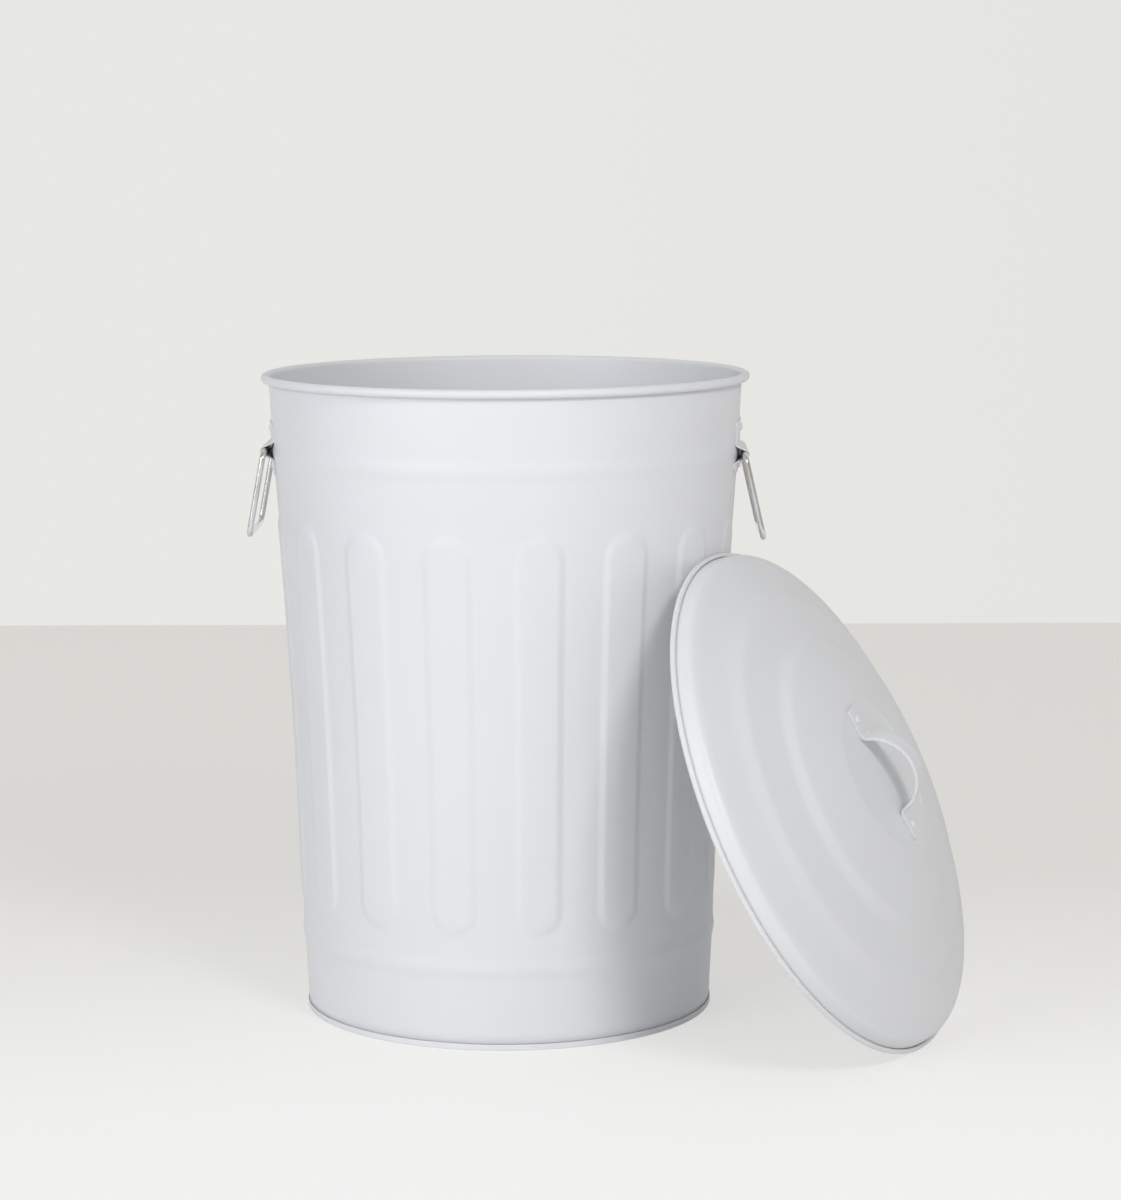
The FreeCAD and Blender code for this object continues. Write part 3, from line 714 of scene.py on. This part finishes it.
@dataclass
class WallSeam:
    """Lap seam up the back of the wall, between two flutes."""

    wall: CanWall
    angle: float = 2.2
    low: float = 7.0
    high: float = 528.0
    sheet: float = 0.8
    steps: int = 6

    def build(self, material: bpy.types.Material) -> bpy.types.Object:
        """Build the seam.

        Args:
            material: Its paint.

        Returns:
            The seam piece.
        """
        heights = [height for height in self.wall.rows() if self.low < height < self.high]
        outline = Outline(self.wall.skin(self.low), self.low)
        for height in heights + [self.high]:
            outline.line(self.wall.skin(height), height)
        azimuth = self.wall.flute_first + (self.wall.flute_count - 1) * 180.0 / self.wall.flute_count
        bm = outline.bm
        bmesh.ops.rotate(bm, verts=bm.verts[:], matrix=Matrix.Rotation(
            math.radians(azimuth - 90.0 - self.angle / 2), 3, "Z"))
        bmesh.ops.spin(bm, geom=bm.verts[:] + bm.edges[:], cent=(0.0, 0.0, 0.0), axis=(0.0, 0.0, 1.0),
                       dvec=(0.0, 0.0, 0.0), angle=math.radians(self.angle), steps=self.steps,
                       use_duplicate=False, use_merge=False)
        face_towards(bm, lambda spot: Vector((spot.x, spot.y, 0.0)))
        seam = make_piece(bm, "can_wall_seam", Body.CAN, material, outward=False)
        add_solidify(seam, self.sheet, 1.0)
        add_bevel(seam, 0.45, 3, 50.0)
        return seam


@dataclass
class BasePan:
    """Raised floor disc whose hem is folded up round the wall's lower edge."""

    hem_radius: float = 172.55
    hem_height: float = 5.0
    flange_radius: float = 170.3
    height: float = 10.0
    sheet: float = 0.8
    middle: float = 110.0
    rim_width: float = 7.0
    columns: int = 256

    def build(self, material: bpy.types.Material) -> bpy.types.Object:
        """Build the pan.

        Args:
            material: Its paint.

        Returns:
            The pan piece.
        """
        inside = self.flange_radius - self.sheet
        lip = self.hem_radius - self.sheet
        outline = Outline(0.0, self.height)
        outline.line(self.middle, self.height, 3)
        outline.line(self.flange_radius - self.rim_width, self.height, 2)
        outline.line(self.flange_radius, self.height, 1, 0.7, 4)
        outline.line(self.flange_radius, self.sheet, 3, 0.4, 2)
        outline.line(lip, self.sheet, 2, 0.4, 2)
        outline.line(lip, self.hem_height, 2, 0.3, 2)
        outline.line(self.hem_radius, self.hem_height, 1, 0.35, 3)
        outline.line(self.hem_radius, 0.0, 3, 0.75, 5)
        outline.line(inside, 0.0, 2, 0.5, 3)
        outline.line(inside, self.height - self.sheet, 3, 0.7, 3)
        outline.line(self.middle, self.height - self.sheet, 3)
        outline.line(0.0, self.height - self.sheet, 3)
        bm = outline.lathe(self.columns)
        return make_piece(bm, "can_base_pan", Body.CAN, material, ("base_pan",))


@dataclass
class BailBracket:
    """Plate pressed over the upper ring bead, with a straight tunnel for the bail's top bar."""

    wall: CanWall
    pivot: Point
    low: float = 457.0
    high: float = 501.0
    width: float = 82.0
    corner: float = 6.0
    sheet: float = 1.2
    bore: float = 2.9
    leg_depth: float = 12.0
    leg_foot: float = 8.2
    bend: float = 1.5
    bend_room: float = 2.5
    columns: int = 48
    reach: float = field(init=False)
    touch: Point = field(init=False)
    slope: float = field(init=False)

    def __post_init__(self) -> None:
        """Work out how far the pivot stands off the wall and where the legs leave the tunnel's arc."""
        self.reach = self.pivot[0] - self.wall.skin(self.pivot[1])
        span = self.leg_depth ** 2 + self.leg_foot ** 2
        leg = math.sqrt(span - self.bore ** 2)
        self.touch = (self.bore * (self.leg_foot * leg - self.bore * self.leg_depth) / span,
                      self.bore * (self.bore * self.leg_foot + leg * self.leg_depth) / span)
        self.slope = (self.leg_foot - self.touch[1]) / (self.leg_depth + self.touch[0])

    def root(self, depth: float) -> float:
        """Half height of the tunnel where its legs have run a depth inside the pivot."""
        return self.touch[1] + (depth + self.touch[0]) * self.slope

    def section(self) -> Outline:
        """Inner face of the plate and tunnel on the middle line, from the top edge down.

        The first coordinate counts from the wall, so that the plate is at 0.
        """
        up = self.pivot[1]
        foot = self.root(self.reach)
        angle = math.degrees(math.atan2(self.touch[1], self.touch[0]))
        outline = Outline(0.0, self.high)
        outline.line(0.0, self.high - self.corner, 6)
        outline.line(0.0, up + foot + self.bend_room, 3)
        outline.line(0.0, up + foot, 1, self.bend, 6)
        outline.line(self.reach + self.touch[0], up + self.touch[1])
        outline.arc((self.reach, up), -2.0 * angle, 14)
        outline.line(0.0, up - foot, 1, self.bend, 6)
        outline.line(0.0, up - foot - self.bend_room, 1)
        outline.line(0.0, self.low + self.corner, 2)
        outline.line(0.0, self.low, 6)
        return outline

    def build(self, side: Side, material: bpy.types.Material) -> bpy.types.Object:
        """Build the bracket of one side.

        Args:
            side: The side of the can.
            material: Its paint.

        Returns:
            The bracket piece.
        """
        across, up = self.pivot
        foot = self.root(self.reach)
        bm = self.section().drawn(self.width, self.columns)
        half = self.width / 2
        for vert in bm.verts:
            proud = vert.co.x
            margin = min(self.high - vert.co.z, vert.co.z - self.low)
            if margin < self.corner:
                inset = self.corner - math.sqrt(self.corner ** 2 - (self.corner - margin) ** 2)
                vert.co.y *= (half - inset) / half
            side_on = math.sqrt(self.wall.skin(up) ** 2 - vert.co.y ** 2)
            spread = self.slope * (self.wall.skin(up) - side_on)
            away = vert.co.z - up
            if proud > 0.0:
                fall = 1.0 - min(1.0, proud / (self.reach + self.touch[0]))
            else:
                edge = self.high - up if away > 0.0 else up - self.low
                fall = max(0.0, 1.0 - (abs(away) - foot) / (edge - foot))
            vert.co.z += math.copysign(spread * fall, away)
            on_wall = math.sqrt(self.wall.skin(vert.co.z) ** 2 - vert.co.y ** 2)
            if proud < self.reach:
                vert.co.x = on_wall + (across - on_wall) * proud / self.reach
            else:
                vert.co.x = across + proud - self.reach
        face_towards(bm, lambda spot: Vector((1.0, 0.0, 0.0)))
        bracket = make_piece(bm, f"bail_bracket_{side.word}", Body.CAN, material,
                             (f"bracket_{side.word}",), side.turn, outward=False)
        add_solidify(bracket, self.sheet - 0.05, 1.0)
        add_bevel(bracket, 0.35, 2, 50.0)
        return bracket


@dataclass
class RivetPair:
    """Two domed rivets of one kind."""

    head: float
    rise: float
    shank: float
    grip: float
    tail: float
    tail_rise: float = 1.2

    def one(self) -> bmesh.types.BMesh:
        """Build one rivet on its own axis, its seat at height 0."""
        outline = Outline(0.0, self.rise)
        flat = self.head * 0.16
        outline.line(flat, self.rise, 1, flat * 0.5, 3)
        outline.line(self.head * 0.36, self.rise * 0.74, 1, self.head * 0.1, 4)
        outline.line(self.head / 2, 0.25, 1, 0.2, 3)
        outline.line(self.head / 2 - 0.15, 0.0, 1)
        outline.line(self.shank / 2, 0.0, 1)
        outline.line(self.shank / 2, -self.grip, 1)
        outline.line(self.tail / 2, -self.grip, 1, 0.2, 2)
        outline.line(self.tail / 2, -self.grip - self.tail_rise, 1, 0.5, 3)
        outline.line(0.0, -self.grip - self.tail_rise, 1)
        return outline.lathe(28)

    def build(self, name: str, replaces: str, body: Body, slot: Slot, material: bpy.types.Material,
              places: Iterable[Matrix]) -> bpy.types.Object:
        """Build both rivets as one piece.

        Args:
            name: Name of the piece.
            replaces: The CAD node that it stands for.
            body: Its body.
            slot: Not used.
            material: Its material.
            places: Placement of each rivet in millimetres.

        Returns:
            The piece.
        """
        bm = self.one()
        first = bm.verts[:] + bm.edges[:] + bm.faces[:]
        spots = list(places)
        copy = bmesh.ops.duplicate(bm, geom=first)["geom"]
        copied = [part for part in copy if isinstance(part, bmesh.types.BMVert)]
        bmesh.ops.transform(bm, matrix=spots[0],
                            verts=[part for part in first if isinstance(part, bmesh.types.BMVert)])
        bmesh.ops.transform(bm, matrix=spots[1], verts=copied)
        return make_piece(bm, name, body, material, (replaces,))


@dataclass
class WireBail:
    """Loop of round wire that swings in its bracket's tunnel."""

    pivot: Point
    wire: float = 5.0
    width: float = 100.0
    drop: float = 70.3
    bend: float = 7.5
    gap: float = 1.5
    splay_right: float = 12.6
    splay_left: float = 10.6

    def build(self, side: Side, material: bpy.types.Material) -> bpy.types.Object:
        """Build the bail of one side.

        Args:
            side: The side of the can.
            material: Its plating.

        Returns:
            The bail piece.
        """
        bm = bmesh.new()
        ring = bmesh.ops.create_circle(bm, cap_ends=False, segments=24, radius=self.wire / 2,
                                       matrix=Matrix.Rotation(math.pi / 2, 4, "X"))["verts"]
        section: list[object] = ring + list({edge for vert in ring for edge in vert.link_edges})
        half = self.width / 2
        inner = half - self.bend
        low = self.bend - self.drop
        run = self.drop - 2 * self.bend
        moves: list[tuple[Vector, tuple[float, float] | None, int]] = [
            (Vector((0, inner, 0)), None, 10),
            (Vector(), (inner, -self.bend), 9),
            (Vector((0, 0, -run)), None, 10),
            (Vector(), (inner, low), 9),
            (Vector((0, -2 * inner, 0)), None, 16),
            (Vector(), (-inner, low), 9),
            (Vector((0, 0, run)), None, 10),
            (Vector(), (-inner, -self.bend), 9),
            (Vector((0, inner - self.gap, 0)), None, 10),
        ]
        ends = [section]
        for travel, centre, steps in moves:
            spin_centre = (0.0, centre[0], centre[1]) if centre else (0.0, 0.0, 0.0)
            made = bmesh.ops.spin(bm, geom=section, cent=spin_centre, axis=(-1.0, 0.0, 0.0),
                                  dvec=travel / steps, angle=math.pi / 2 if centre else 0.0, steps=steps,
                                  use_duplicate=False, use_merge=False)
            section = [part for part in made["geom_last"] if not isinstance(part, bmesh.types.BMFace)]
        ends.append(section)
        for end in ends:
            edges = [part for part in end if isinstance(part, bmesh.types.BMEdge)]
            bmesh.ops.holes_fill(bm, edges=edges, sides=0)
        splay = self.splay_right if side is Side.RIGHT else self.splay_left
        swing = Matrix.Rotation(math.radians(-splay), 4, "Y")
        shift = Matrix.Translation((self.pivot[0], 0.0, self.pivot[1]))
        body = Body.BAIL_RIGHT if side is Side.RIGHT else Body.BAIL_LEFT
        bail = make_piece(bm, f"wire_bail_{side.word}", body, material,
                          (f"bail_{side.word}",), side.turn @ shift @ swing)
        add_bevel(bail, 0.5, 2, 60.0)
        return bail


# ---------------------------------------------------------------- lid
@dataclass
class Lid:
    """Stepped dome lid with a rolled rim and a strap handle, leaning on the can."""

    bearing: float = 24.15
    lift: float = 25.38
    place_bearing: float = 24.93
    place_radius: float = 284.45
    curl_centre: float = 215.7
    curl: float = 2.25
    curl_end: float = 125.0
    sheet: float = 0.8
    skirt_tilt: float = 10.0
    strap_turn: float = 12.0
    strap_rivet: float = 49.0
    strap: float = 2.4
    strap_half: float = 60.0
    strap_width: float = 18.0
    strap_corner: float = 2.9
    strap_bend: float = 5.0
    grip_radius: float = 34.1
    grip_centre: float = 56.4
    seat: float = 61.0
    seat_edge: float = 61.9
    dome_foot: Point = (62.9, 61.65)
    dome_edge: Point = (119.0, 49.3)
    dome_centre: float = -351.1
    dome_steps: int = 12
    upper_riser: Point = (129.2, 43.0)
    upper_shoulder: Point = (165.6, 33.7)
    lower_riser: Point = (178.5, 27.0)
    lower_shoulder: Point = (208.8, 14.9)
    skirt_bend: Point = (211.4, 12.6)
    skirt_top: Point = (212.6, 9.4)
    columns: int = 256

    def place(self) -> Matrix:
        """Placement of the lid's own frame, in millimetres."""
        lean = math.radians(90.0 - self.lift)
        bearing = math.radians(self.place_bearing)
        spot = Vector((self.place_radius * math.cos(bearing), -self.place_radius * math.sin(bearing),
                       self.curl_centre * math.sin(lean) + self.curl))
        turn = Matrix.Rotation(math.radians(90.0 - self.bearing), 4, "Z")
        return Matrix.Translation(spot) @ turn @ Matrix.Rotation(lean, 4, "X")

    def strap_place(self) -> Matrix:
        """Placement whose Y axis runs along the handle."""
        return self.place() @ Matrix.Rotation(math.radians(self.strap_turn), 4, "Z")

    def build_shell(self, material: bpy.types.Material) -> bpy.types.Object:
        """Build the lid's sheet.

        Args:
            material: Its paint.

        Returns:
            The lid piece.
        """
        inner = self.curl - self.sheet
        start = math.radians(180.0 + self.skirt_tilt)
        outline = Outline(0.0, self.seat)
        outline.line(30.0, self.seat, 3)
        outline.line(60.0, self.seat, 2)
        outline.line(self.seat_edge, self.seat, 1, 0.8, 4)
        outline.line(*self.dome_foot, 1, 0.5, 3)
        foot, foot_up = self.dome_foot[0], self.dome_foot[1] - self.dome_centre
        edge, edge_up = self.dome_edge[0], self.dome_edge[1] - self.dome_centre
        dome = math.hypot(foot, foot_up)
        first = math.asin(foot / dome)
        last = math.asin(edge / math.hypot(edge, edge_up))
        for number in range(1, self.dome_steps + 1):
            angle = first + (last - first) * number / self.dome_steps
            soften = 2.6 if number == self.dome_steps else 0.0
            outline.line(dome * math.sin(angle), self.dome_centre + dome * math.cos(angle), 1, soften, 5)
        outline.line(*self.upper_riser, 2, 2.6, 5)
        outline.line(*self.upper_shoulder, 6, 3.0, 5)
        outline.line(*self.lower_riser, 2, 3.0, 5)
        outline.line(*self.lower_shoulder, 5)
        outline.line(*self.skirt_bend, 1, 1.6, 5)
        outline.line(*self.skirt_top, 1, 1.6, 4)
        outline.line(self.curl_centre + inner * math.cos(start), inner * math.sin(start), 3)
        outline.arc((self.curl_centre, 0.0), 360.0 + self.curl_end - 180.0 - self.skirt_tilt, 18)
        bm = outline.lathe(self.columns)
        face_towards(bm, lambda spot: Vector((0.0, 0.0, 1.0)))
        lid = make_piece(bm, "lid_dome", Body.LID, material, ("lid_shell",), self.place(),
                         outward=False)
        add_solidify(lid, self.sheet, -1.0)
        return lid

    def build_handle(self, material: bpy.types.Material) -> bpy.types.Object:
        """Build the bent strap.

        Args:
            material: Its paint.

        Returns:
            The handle piece.
        """
        lie = self.seat + self.strap / 2
        bend_up = lie + self.strap_bend
        outline = Outline(-self.strap_half, lie)
        reach = self.grip_radius + self.strap_bend
        across = math.sqrt(reach ** 2 - (bend_up - self.grip_centre) ** 2)
        bend = 90.0 - math.degrees(math.atan2(bend_up - self.grip_centre, across))
        outline.line(-across, lie, 7)
        outline.arc((-across, bend_up), bend, 8)
        outline.arc((0.0, self.grip_centre), -2.0 * bend, 32)
        outline.arc((across, bend_up), bend, 8)
        outline.line(self.strap_half, lie, 7)
        bm = outline.drawn(self.strap_width, 6)
        corners = [vert for vert in bm.verts if abs(abs(vert.co.x) - self.strap_half) < 0.01
                   and abs(vert.co.y) > self.strap_width / 2 - 0.1]
        for corner in corners:
            bmesh.ops.bevel(bm, geom=[corner], offset=self.strap_corner, offset_type="OFFSET",
                            segments=6, profile=0.5, affect="VERTICES", material=-1)
        face_towards(bm, lambda spot: Vector((0.0, 0.0, 1.0)))
        quarter = Matrix.Rotation(math.pi / 2, 4, "Z")
        handle = make_piece(bm, "lid_strap_handle", Body.LID, material, ("lid_handle",),
                            self.strap_place() @ quarter, outward=False)
        add_solidify(handle, self.strap, 0.0)
        add_bevel(handle, 0.45, 3, 50.0)
        return handle

    def build_rivets(self, material: bpy.types.Material) -> bpy.types.Object:
        """Build the two rivets of the handle.

        Args:
            material: Their paint.

        Returns:
            The rivet piece.
        """
        pair = RivetPair(head=8.0, rise=2.2, shank=4.5, grip=3.5, tail=7.0)
        top = self.seat + self.strap
        seats = [self.strap_place() @ Matrix.Translation((0.0, sign * self.strap_rivet, top))
                 for sign in (1, -1)]
        return pair.build("lid_handle_rivets", "lid_rivets", Body.LID, Slot.LID_PAINT, material, seats)


# ---------------------------------------------------------------- stage, light and camera
@dataclass
class Studio:
    """Pale floor and backdrop, soft lamps and the camera of the photograph."""

    focal: float = 3429.0
    pitch: float = 7.9236
    roll: float = -0.24284
    yaw: float = 0.7
    stand: tuple[float, float, float] = (0.08071, -2.88069, 0.74673)
    wall_y: float = 2.22
    stage_half: float = 7.0
    air: Colour = (0.97, 0.98, 1.0)
    air_strength: float = 0.46

    def floor_and_wall(self) -> None:
        """Lay the floor and stand the backdrop behind it."""
        # The floor is painted with a light falloff: lighter near the camera, darker towards the backdrop.
        floor = StudioSurface("studio floor", (0.96, 0.955, 0.945), (0.85, 0.835, 0.8), (-0.35, 0.5),
                              shown=0.6)
        # The backdrop is painted with a light falloff: lighter on the left, darker to the right.
        wall = StudioSurface("studio backdrop", (0.81, 0.805, 0.775), (0.785, 0.78, 0.76), (-0.4, 0.9), "X")
        for name, finish, turn, spot in (
                ("studio_floor", floor, Matrix.Identity(4), (0.0, self.wall_y - self.stage_half, 0.0)),
                ("studio_backdrop", wall, Matrix.Rotation(math.pi / 2, 4, "X"),
                 (0.0, self.wall_y, self.stage_half))):
            bm = bmesh.new()
            bmesh.ops.create_grid(bm, x_segments=1, y_segments=1, size=self.stage_half,
                                  matrix=Matrix.Translation(spot) @ turn)
            mesh = bpy.data.meshes.new(name)
            bm.to_mesh(mesh)
            bm.free()
            mesh.materials.append(finish.material())
            stage = bpy.data.objects.new(name, mesh)
            bpy.context.scene.collection.objects.link(stage)

    def lamp(self, name: str, spot: Sequence[float], aim: Sequence[float], size: Point, power: float,
             colour: Colour) -> None:
        """Hang one soft rectangular lamp.

        Args:
            name: Its name.
            spot: Where it hangs, in metres.
            aim: The point that it faces.
            size: Its width and height in metres.
            power: Its power in watts.
            colour: Its colour.
        """
        light = bpy.data.lights.new(name, "AREA")
        light.shape = "RECTANGLE"
        light.size, light.size_y = size
        light.energy = power
        light.color = colour
        lamp = bpy.data.objects.new(name, light)
        lamp.location = spot
        lamp.rotation_euler = (Vector(aim) - Vector(spot)).to_track_quat("-Z", "Y").to_euler()
        bpy.context.scene.collection.objects.link(lamp)

    def light(self) -> None:
        """Set the world's pale light and the lamps."""
        world = bpy.data.worlds.new("studio air")
        world.use_nodes = True
        world.node_tree.nodes["Background"].inputs["Color"].default_value = (*self.air, 1.0)
        world.node_tree.nodes["Background"].inputs["Strength"].default_value = self.air_strength
        bpy.context.scene.world = world
        self.lamp("key lamp", (1.0, -2.0, 1.75), (0.1, -0.05, 0.25), (0.6, 0.6), 20.0, (1.0, 0.985, 0.96))
        self.lamp("window fill", (-1.9, -2.2, 1.3), (0.0, 0.0, 0.3), (2.0, 1.6), 30.0, (0.93, 0.965, 1.0))

    def camera(self) -> None:
        """Place the camera where the photograph was taken."""
        pitch, roll, yaw = (math.radians(value) for value in (self.pitch, self.roll, self.yaw))
        ahead = Vector((0.0, math.cos(pitch), -math.sin(pitch)))
        level_up = Vector((0.0, math.sin(pitch), math.cos(pitch)))
        level_right = Vector((1.0, 0.0, 0.0))
        right = level_right * math.cos(roll) + level_up * math.sin(roll)
        up = level_up * math.cos(roll) - level_right * math.sin(roll)
        axes = Matrix((right, up, -ahead)).transposed().to_4x4()
        data = bpy.data.cameras.new("photo camera")
        data.sensor_width = 36.0
        data.lens = self.focal / 1200.0 * 36.0
        data.clip_end = 60.0
        camera = bpy.data.objects.new("photo camera", data)
        camera.matrix_world = Matrix.Translation(self.stand) @ Matrix.Rotation(yaw, 4, "Z") @ axes
        bpy.context.scene.collection.objects.link(camera)
        bpy.context.scene.camera = camera

    def build(self) -> None:
        """Set up the whole stage."""
        bpy.context.scene.view_settings.view_transform = "Standard"
        self.floor_and_wall()
        self.light()
        self.camera()


def build_can() -> None:
    """Build the can, its brackets, rivets and bails."""
    paint = CAN_COAT.material()
    wire = WIRE_PLATE.material()
    wall = CanWall()
    wall.build(paint)
    BasePan().build(paint)
    WallSeam(wall).build(paint)
    rivets = RivetPair(head=7.0, rise=2.0, shank=4.0, grip=2.3, tail=6.5)
    pivots = {Side.RIGHT: (199.8, 473.0), Side.LEFT: (199.8, 477.2)}
    outward = Matrix.Rotation(math.radians(90.0 + wall.tilt), 4, "Y")
    for side in Side:
        BailBracket(wall, pivots[side]).build(side, paint)
        seats = [side.turn @ Matrix.Translation((wall.cone(height) + 1.2, 0.0, height)) @ outward
                 for height in (461.5, 493.0)]
        rivets.build(f"bracket_rivet_pair_{side.word}", f"bracket_rivets_{side.word}", Body.CAN,
                     Slot.CAN_PAINT, paint, seats)
        WireBail(pivots[side]).build(side, wire)


def build_lid() -> None:
    """Build the lid, its handle and rivets."""
    paint = LID_COAT.material()
    lid = Lid()
    lid.build_shell(paint)
    lid.build_handle(paint)
    lid.build_rivets(paint)


def main() -> None:
    """Build everything in order."""
    logging.basicConfig(level=logging.INFO, format="%(message)s")
    Studio().build()
    build_can()
    build_lid()


if __name__ == "__main__":
    main()
